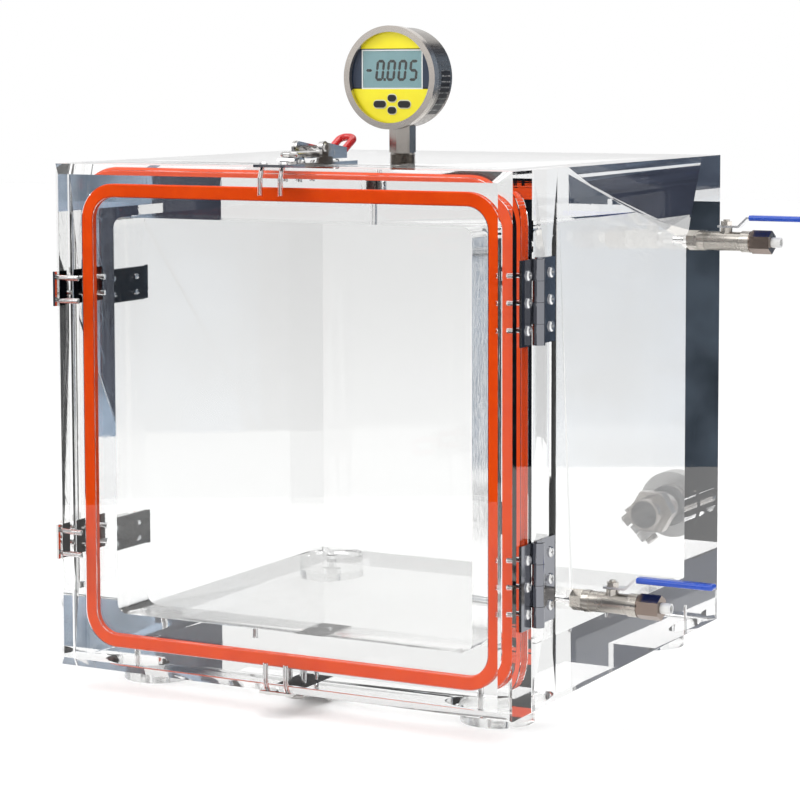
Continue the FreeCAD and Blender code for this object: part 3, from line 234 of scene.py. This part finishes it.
def use(material, *nodes):
    """Every material slot of these CAD nodes takes the material."""
    for node in nodes:
        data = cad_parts[node].data
        if not data.materials:
            data.materials.append(material)
        for slot in range(len(data.materials)):
            data.materials[slot] = material


def added(name, data):
    """A new object with this data in the scene."""
    made = bpy.data.objects.new(name, data)
    bpy.context.scene.collection.objects.link(made)
    return made


def mesh_from(name, skin, material):
    """A mesh of the skin with its faces turned outward. The skin is used up."""
    bmesh.ops.recalc_face_normals(skin, faces=skin.faces)
    mesh = bpy.data.meshes.new(name)
    skin.to_mesh(mesh)
    skin.free()
    mesh.materials.append(material)
    return mesh


# ---- clear body ----------------------------------------------------------------------------

OPENING_INSET = 35 * MM
SMOOTH_BELOW = math.radians(25)


def welded(node):
    """A copy of a CAD node with its split corners joined, so that it is one closed skin."""
    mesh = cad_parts[node].data.copy()
    skin = bmesh.new()
    skin.from_mesh(mesh)
    bmesh.ops.remove_doubles(skin, verts=skin.verts, dist=1e-6)
    flat = math.radians(0.5)
    bmesh.ops.dissolve_limit(skin, angle_limit=flat, verts=skin.verts, edges=skin.edges)
    skin.to_mesh(mesh)
    skin.free()
    return added("welded_" + node, mesh)


def cemented_shell():
    """The plates and feet as the one clear body that they are once cemented: where two meet,
    light goes straight through."""
    parts = [welded(node) for node in CLEAR_NODES]
    first = parts[0]
    for part in parts[1:]:
        union = first.modifiers.new("union", "BOOLEAN")
        union.operation = "UNION"
        union.solver = "EXACT"
        union.object = part
    graph = bpy.context.evaluated_depsgraph_get()
    mesh = bpy.data.meshes.new_from_object(first.evaluated_get(graph))
    for part in parts:
        bpy.data.objects.remove(part)
    made = added("acrylic_shell", mesh)
    mesh.shade_smooth()
    mesh.set_sharp_from_angle(angle=SMOOTH_BELOW)
    low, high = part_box("front_flange")
    reach = (high.x - low.x) / 2 - OPENING_INSET
    mesh.materials.clear()
    mesh.materials.append(acrylic("clear_shell", (low.y + 1 * MM, high.y - 1 * MM, reach)))
    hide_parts(*CLEAR_NODES)
    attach(made, "chamber")
    return made


# ---- door seal -----------------------------------------------------------------------------

SEAL_WIDTH = 9.6 * MM
SEAL_CORNER = 22 * MM
SEAL_BITE = 0.2 * MM
SEAL_EDGE = 1.3 * MM


def seal_outline(half, radius, steps=12):
    """Points round a rounded square, each with the direction that points out of it."""
    points = []
    for quarter in range(4):
        for step in range(steps + 1):
            turn = math.radians(90 * quarter + 90 * step / steps)
            out = Vector((math.cos(turn), math.sin(turn)))
            signs = Vector((1 if quarter in (0, 3) else -1, 1 if quarter in (0, 1) else -1))
            points.append((signs * (half - radius) + out * radius, out))
    return points


def seal_section(deep, steps=5):
    """The seal's rounded oblong: how far each point lies across the run, and along Y."""
    points = []
    for quarter in range(4):
        half = SEAL_WIDTH / 2 + SEAL_BITE - SEAL_EDGE
        middle_across = half if quarter in (0, 3) else -half
        middle_along = deep + SEAL_BITE - SEAL_EDGE if quarter in (0, 1) else SEAL_EDGE
        for step in range(steps + 1):
            turn = math.radians(90 * quarter + 90 * step / steps)
            points.append((middle_across + SEAL_EDGE * math.cos(turn),
                           middle_along + SEAL_EDGE * math.sin(turn)))
    return points


def seated_seal():
    """The seal pressed against the walls and the floor of its groove, so that its colour shows
    through the door with no film of air between."""
    low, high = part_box("door_gasket")
    centre = (low + high) / 2
    section = seal_section(high.y - low.y)
    skin = bmesh.new()
    rings = []
    for point, out in seal_outline((high.x - low.x - SEAL_WIDTH) / 2, SEAL_CORNER):
        ring = []
        for across, along in section:
            spot = point + out * across
            corner = (centre.x + spot.x, low.y - SEAL_BITE + along, centre.z + spot.y)
            ring.append(skin.verts.new(corner))
        rings.append(ring)
    for here, ring in enumerate(rings):
        after = rings[(here + 1) % len(rings)]
        for count in range(len(section)):
            skin.faces.new((ring[count], ring[count - 1], after[count - 1], after[count]))
    made = added("seated_seal", mesh_from("seated_seal", skin, silicone()))
    made.data.shade_smooth()
    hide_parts("door_gasket")
    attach(made, "door")


# ---- metal and plastic fittings ------------------------------------------------------------

def dress_fittings():
    """A material for each kind of metal and plastic, by the CAD nodes that are made of it."""
    # The hinge chrome is coloured far darker than the latch chrome: a painted reflection of the
    # dark surroundings that the plates mirror.
    hinge = metal("hinge_chrome", (0.2, 0.205, 0.225), 0.04, 0.12)
    use(hinge, "hinge_leaves_body", "hinge_leaves_door", "hinge_pins")
    screws = metal("screw_steel", (0.74, 0.74, 0.74), 0.12, 0.22)
    use(screws, "hinge_screws_body", "hinge_screws_door", "latch_base_screws",
        "latch_catch_screws", "foot_screws")
    latch = metal("latch_chrome", (0.56, 0.55, 0.54), 0.05, 0.14)
    use(latch, "latch_bases", "latch_rivets", "latch_catches")
    grip = plastic("red_plastic", (0.72, 0.012, 0.012), 0.28, 0.5)
    for key in LATCHES:
        use(latch, "latch_lever_" + key, "latch_drawbar_" + key)
        use(grip, "latch_grip_" + key)
    nickel = metal("valve_nickel", (0.5, 0.47, 0.43), 0.16, 0.3, 700.0, (0.3, 1, 1))
    use(nickel, "valve_bodies", "valve_wall_nuts", "valve_stem_upper", "valve_stem_lower")
    use(metal("valve_dark", (0.22, 0.175, 0.15), 0.14, 0.26), "valve_end_nuts", "valve_washers")
    strip = metal("lever_steel", (0.66, 0.66, 0.67), 0.15, 0.28)
    use(strip, "valve_lever_upper", "valve_lever_lower")
    use(plastic("white_plastic", (0.82, 0.82, 0.8), 0.4), "valve_tube_ends")
    sleeve = plastic("blue_vinyl", (0.008, 0.07, 0.5), 0.25, 0.3)
    use(sleeve, "valve_sleeve_upper", "valve_sleeve_lower")
    port = metal("stainless", (0.3, 0.27, 0.24), 0.12, 0.24, 800.0, (1, 0.2, 1))
    use(port, "port_nipple", "hose_adapter", "port_inner_nut", "clamp_bolt", "wing_nut")
    use(plastic("port_ring", (0.03, 0.03, 0.032), 0.5), "centering_ring")
    clamp = metal("cast_aluminium", (0.38, 0.37, 0.36), 0.22, 0.36, 1400.0, bump=0.2)
    use(clamp, "clamp_halves")
    stem = metal("gauge_thread_steel", (0.3, 0.28, 0.26), 0.14, 0.26, 900.0, (1, 1, 0.2))
    use(stem, "gauge_stem")
    bezel = metal("gauge_polished", (0.52, 0.48, 0.44), 0.16, 0.26, 600.0, (1, 0.1, 1))
    use(bezel, "gauge_bezel")


# ---- gauge ---------------------------------------------------------------------------------

GAUGE_KEYS = ("left", "right", "upper", "lower")
BAND_LOW, BAND_HIGH = -8.4 * MM, 21.2 * MM
RULE = 1.0 * MM
DISPLAY_FRAME = 1.0 * MM
KEY_LINE = 0.75 * MM
LABEL_LOW, LABEL_HIGH = -27 * MM, 5 * MM
LABEL_FROM_FRONT, LABEL_FROM_REAR = 9 * MM, 3 * MM
LABEL_LINES = 1500.0


def gauge_centre():
    low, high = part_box("gauge_bezel")
    return (low + high) / 2


def key_surround(g, x, z, key):
    """1 on the key and the line round it. The key is an oblong with round ends."""
    low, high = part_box("gauge_button_" + key)
    middle = (low + high) / 2 - gauge_centre()
    radius = (high.z - low.z) / 2
    run = (high.x - low.x) / 2 - radius
    aside = g.math("ABSOLUTE", g.math("SUBTRACT", x, middle.x))
    past = g.math("MAXIMUM", g.math("SUBTRACT", aside, run), 0.0)
    up = g.math("SUBTRACT", z, middle.z)
    squares = g.math("ADD", g.math("MULTIPLY", past, past), g.math("MULTIPLY", up, up))
    return g.math("LESS_THAN", g.math("SQRT", squares), radius + KEY_LINE)


def printed_face():
    """Yellow above and below a dark band, black rules between, a white frame round the
    display and a pale line round each key."""
    g = Graph("yellow_label")
    centre = gauge_centre()
    x, _, z = g.axes()
    x = g.math("SUBTRACT", x, centre.x)
    z = g.math("SUBTRACT", z, centre.z)
    fine = g.noise(1200.0, 2.0)
    cloud = g.span(g.noise(80.0), 0.3, 0.7)
    colour = g.blend(cloud, (0.93, 0.8, 0.006), (0.97, 0.87, 0.012))
    colour = g.blend(g.inside(z, BAND_LOW, BAND_HIGH), colour, (0.004, 0.004, 0.006))
    inner = g.inside(z, BAND_LOW + RULE, BAND_HIGH - RULE)
    colour = g.blend(inner, colour, (0.02, 0.035, 0.07))
    low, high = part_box("gauge_lens")
    wide = (high.x - low.x) / 2 + DISPLAY_FRAME
    tall = (high.z - low.z) / 2 + DISPLAY_FRAME
    middle = (low.z + high.z) / 2 - centre.z
    within_z = g.inside(z, middle - tall, middle + tall)
    framed = g.math("MULTIPLY", g.inside(x, -wide, wide), within_z)
    colour = g.blend(framed, colour, (0.78, 0.8, 0.78))
    for key in GAUGE_KEYS:
        colour = g.blend(key_surround(g, x, z, key), colour, (0.8, 0.78, 0.6))
    g.put(Base_Color=colour, Roughness=g.span(fine, 0.3, 0.7, 0.3, 0.4))
    g.put(Normal=g.bump(fine, 0.05, 0.1 * MM), Coat_Weight=0.3)
    return g.material


def labelled_case():
    """Turned steel with a black rating label, lined but without text, low on its right side."""
    g = Graph("gauge_case_steel")
    centre = gauge_centre()
    low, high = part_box("gauge_case")
    x, y, z = g.axes()
    up = g.math("SUBTRACT", z, centre.z)
    on_right = g.math("GREATER_THAN", x, centre.x)
    along = g.inside(y, low.y + LABEL_FROM_FRONT, high.y - LABEL_FROM_REAR)
    upright = g.math("MULTIPLY", g.inside(up, LABEL_LOW, LABEL_HIGH), on_right)
    label = g.math("MULTIPLY", upright, along)
    waves = g.math("SINE", g.math("MULTIPLY", up, LABEL_LINES))
    lines = g.math("GREATER_THAN", waves, 0.75)
    broken = g.math("GREATER_THAN", g.noise(700.0, 2.0), 0.5)
    ink = g.blend(g.math("MULTIPLY", lines, broken), (0.01, 0.01, 0.012), (0.3, 0.3, 0.3))
    broad = g.noise(60.0, 4.0)
    turned = g.noise(600.0, 2.0, 0.6, (1, 0.1, 1))
    steel = g.blend(g.span(broad, 0.3, 0.7), (0.27, 0.25, 0.23), (0.36, 0.335, 0.31))
    g.put(Base_Color=g.blend(label, steel, ink), Metallic=g.math("SUBTRACT", 1.0, label))
    polish = g.span(turned, 0.3, 0.7, 0.2, 0.3)
    g.put(Roughness=g.math("ADD", polish, g.math("MULTIPLY", label, 0.15)))
    g.put(Normal=g.bump(turned, 0.05, 0.2 * MM))
    return g.material


def display_back():
    g = Graph("display")
    cloud = g.span(g.noise(40.0), 0.3, 0.7)
    g.put(Base_Color=g.blend(cloud, (0.34, 0.62, 0.66), (0.42, 0.7, 0.74)))
    g.put(Roughness=g.span(g.noise(2000.0), 0.3, 0.7, 0.3, 0.42))
    return g.material


def clear_lens():
    g = Graph("clear_lens")
    g.put(Base_Color=(0.97, 0.99, 0.99, 1.0), IOR=1.45, Transmission_Weight=1.0)
    g.put(Roughness=g.span(g.noise(30.0), 0.4, 0.8, 0.0, 0.02))
    return g.material


# ---- display reading -----------------------------------------------------------------------

READING = "-0005"
DIGIT_SEGMENTS = {"0": "abcdef", "5": "acdfg", "-": "g"}
SEGMENT_ENDS = {"a": ((0, 2), (1, 2)), "b": ((1, 1), (1, 2)), "c": ((1, 0), (1, 1)),
                "d": ((0, 0), (1, 0)), "e": ((0, 0), (0, 1)), "f": ((0, 1), (0, 2)),
                "g": ((0, 1), (1, 1))}
INK_THICK = 0.04 * MM
INK_AHEAD = 0.06 * MM
# The digit's height over the display's, and the rest over the digit's height.
DIGIT_TALL = 0.5
DIGIT_WIDE = 0.38
DIGIT_PITCH = 0.69
DIGIT_SLANT = 0.06
BAR_HALF = 0.075
POINT_BACK = 0.16
# The reading's start over the display's width and height.
START_ACROSS, START_UP = 0.03, 0.22


def bar_points(start, end, half):
    """A lying six-sided bar with pointed ends, in the display's plane."""
    ahead = (end - start).normalized()
    side = Vector((-ahead.y, ahead.x)) * half
    return [start, start + ahead * half + side, end - ahead * half + side, end,
            end - ahead * half - side, start + ahead * half - side]


def prism(skin, points, front):
    """A closed prism of ink with this outline, its front face at front."""
    near, far = [[skin.verts.new((point.x, y, point.y)) for point in points]
                 for y in (front, front + INK_THICK)]
    skin.faces.new(near)
    skin.faces.new(far[::-1])
    for here in range(len(points)):
        after = (here + 1) % len(points)
        skin.faces.new((near[here], far[here], far[after], near[after]))


def display_digits():
    """The dark, slanted seven-segment reading, thin prisms just behind the lens."""
    low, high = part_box("gauge_lcd")
    tall = (high.z - low.z) * DIGIT_TALL
    half = tall * BAR_HALF
    front = low.y - INK_AHEAD
    start = Vector((low.x + (high.x - low.x) * START_ACROSS,
                    low.z + (high.z - low.z) * START_UP))
    skin = bmesh.new()
    for place, character in enumerate(READING):
        corner = start + Vector((place * tall * DIGIT_PITCH, 0))
        for segment in DIGIT_SEGMENTS[character]:
            ends = [corner + Vector((column * DIGIT_WIDE + row * DIGIT_SLANT, row / 2)) * tall
                    for column, row in SEGMENT_ENDS[segment]]
            prism(skin, bar_points(ends[0], ends[1], half), front)
    point = start + Vector((tall * (2 * DIGIT_PITCH - POINT_BACK), 0))
    square = [point + Vector((x * half, z * half)) for x, z in ((-1, -1), (1, -1), (1, 1), (-1, 1))]
    prism(skin, square, front)
    ink = plastic("display_ink", (0.012, 0.016, 0.014), 0.45)
    made = added("display_digits", mesh_from("display_digits", skin, ink))
    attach(made, "chamber")


# ---- studio --------------------------------------------------------------------------------

FLOOR_SIZE = 14
FLOOR_GAP = 0.5 * MM
AIM = Vector((0, 0, 0.2))
SENSOR = 36
FOCAL_OVER_WIDTH = 2591 / 800
CAMERA_PLACE = (0.9603, -1.7687, 0.4675)
CAMERA_YAW, CAMERA_DOWN, CAMERA_ROLL = 28.47, 4.79, -0.14
BOUNCES = 20


def sheet_object(name, size, location, rotation, material):
    """A flat rectangle of the studio."""
    x, y = size[0] / 2, size[1] / 2
    mesh = bpy.data.meshes.new(name)
    mesh.from_pydata([(-x, -y, 0), (x, -y, 0), (x, y, 0), (-x, y, 0)], [], [(0, 1, 2, 3)])
    mesh.materials.append(material)
    made = added(name, mesh)
    made.location = location
    made.rotation_euler = rotation
    return made


def floor_material():
    g = Graph("studio_floor")
    g.put(Base_Color=g.blend(g.noise(2.0, 4.0), (0.93, 0.93, 0.93), (0.96, 0.96, 0.96)))
    g.put(Roughness=0.6, Emission_Color=(1.0, 1.0, 1.0, 1.0), Emission_Strength=0.05)
    return g.material


def card_material(name, colour):
    g = Graph(name)
    streaks = g.span(g.noise(9.0, 3.0, 0.6, (1.0, 1.0, 0.12)), 0.35, 0.65)
    g.put(Base_Color=g.blend(streaks, colour, scaled(colour, 0.4)))
    g.put(Roughness=0.9, Specular_IOR_Level=0.0)
    return g.material


def flag(name, size, distance, azimuth, height, colour):
    """A card that the camera doesn't see, only the light in the acrylic and metal."""
    turn = math.radians(azimuth)
    where = (distance * math.sin(turn), -distance * math.cos(turn), height)
    upright = (math.radians(90), 0, turn)
    made = sheet_object(name, size, where, upright, card_material(name, colour))
    made.visible_camera = False
    made.visible_diffuse = False
    made.visible_shadow = False


def white_world():
    world = bpy.data.worlds.new("studio_world")
    bpy.context.scene.world = world
    world.use_nodes = True
    background = world.node_tree.nodes["Background"]
    background.inputs["Color"].default_value = (1.0, 1.0, 1.0, 1.0)
    background.inputs["Strength"].default_value = 1.0


def softbox(name, size, location, power):
    data = bpy.data.lights.new(name, "AREA")
    data.shape = "RECTANGLE"
    data.size, data.size_y = size
    data.energy = power
    made = added(name, data)
    made.location = location
    made.rotation_euler = (AIM - Vector(location)).to_track_quat("-Z", "Y").to_euler()
    made.visible_camera = False


def camera():
    data = bpy.data.cameras.new("view")
    data.sensor_width = SENSOR
    data.lens = FOCAL_OVER_WIDTH * SENSOR
    data.shift_y = -0.142
    data.clip_end = 60
    made = added("view", data)
    yaw = Matrix.Rotation(math.radians(CAMERA_YAW), 4, "Z")
    tilt = Matrix.Rotation(math.radians(90 - CAMERA_DOWN), 4, "X")
    roll = Matrix.Rotation(math.radians(CAMERA_ROLL), 4, "Z")
    made.matrix_world = Matrix.Translation(CAMERA_PLACE) @ yaw @ tilt @ roll
    bpy.context.scene.camera = made


# ---- the whole -----------------------------------------------------------------------------

shell = cemented_shell()
use(acrylic("clear_door"), "door_panel")
for piece in (shell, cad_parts["door_panel"]):
    piece.visible_shadow = False
seated_seal()
dress_fittings()
use(printed_face(), "gauge_face")
use(labelled_case(), "gauge_case")
use(plastic("black_rubber", (0.012, 0.012, 0.014), 0.4, 0.1),
    *["gauge_button_" + key for key in GAUGE_KEYS])
use(display_back(), "gauge_lcd")
use(clear_lens(), "gauge_lens")
display_digits()

floor_place = (0, 0, CAD_BOX[0][2] - FLOOR_GAP)
sheet_object("studio_floor", (FLOOR_SIZE, FLOOR_SIZE), floor_place, (0, 0, 0), floor_material())
flag("flag_left_front", (1.3, 0.4), 1.1, -30, 0.2, (0.05, 0.06, 0.09))
flag("flag_right_back", (1.1, 1.5), 1.2, 150, 0.75, (0.06, 0.066, 0.09))
flag("flag_pale_strip", (0.26, 1.5), 1.19, 150, 0.75, (0.34, 0.43, 0.55))
white_world()
softbox("key", (1.6, 1.2), (-1.4, -1.8, 2.2), 22)
softbox("top", (1.8, 1.8), (0.3, 0.4, 2.6), 18)
camera()
bpy.context.scene.view_settings.view_transform = "Standard"
bpy.context.scene.cycles.max_bounces = BOUNCES
bpy.context.scene.cycles.transmission_bounces = BOUNCES
